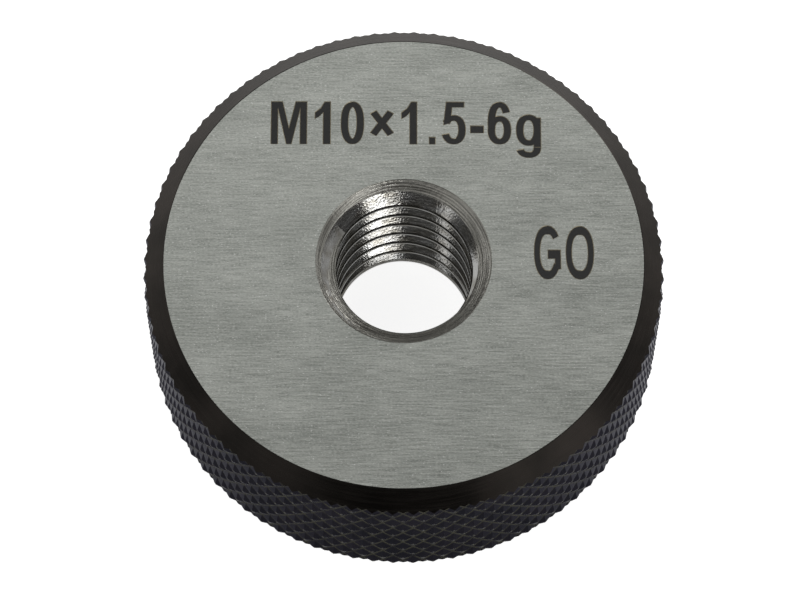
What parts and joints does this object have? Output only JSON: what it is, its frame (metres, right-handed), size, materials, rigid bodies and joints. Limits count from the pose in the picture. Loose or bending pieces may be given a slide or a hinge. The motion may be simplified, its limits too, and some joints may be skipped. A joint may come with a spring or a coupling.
{
  "type": "thread ring gauge",
  "caption": "Round steel ring with a diamond-knurled rim and a screw thread right through it, for checking the thread of a bolt.",
  "frame": {"origin": "centre of the lower flat face, on the thread's axis", "axes": "+Z along the thread's axis, out of the marked upper face; +X to the right of the marks and +Y to their top"},
  "size_m": [0.032, 0.032, 0.012],
  "materials": {
    "hardened_steel": "ground and lapped"
  },
  "bodies": {
    "root": {"gauge_ring": "hardened_steel"}
  },
  "joints": []
}
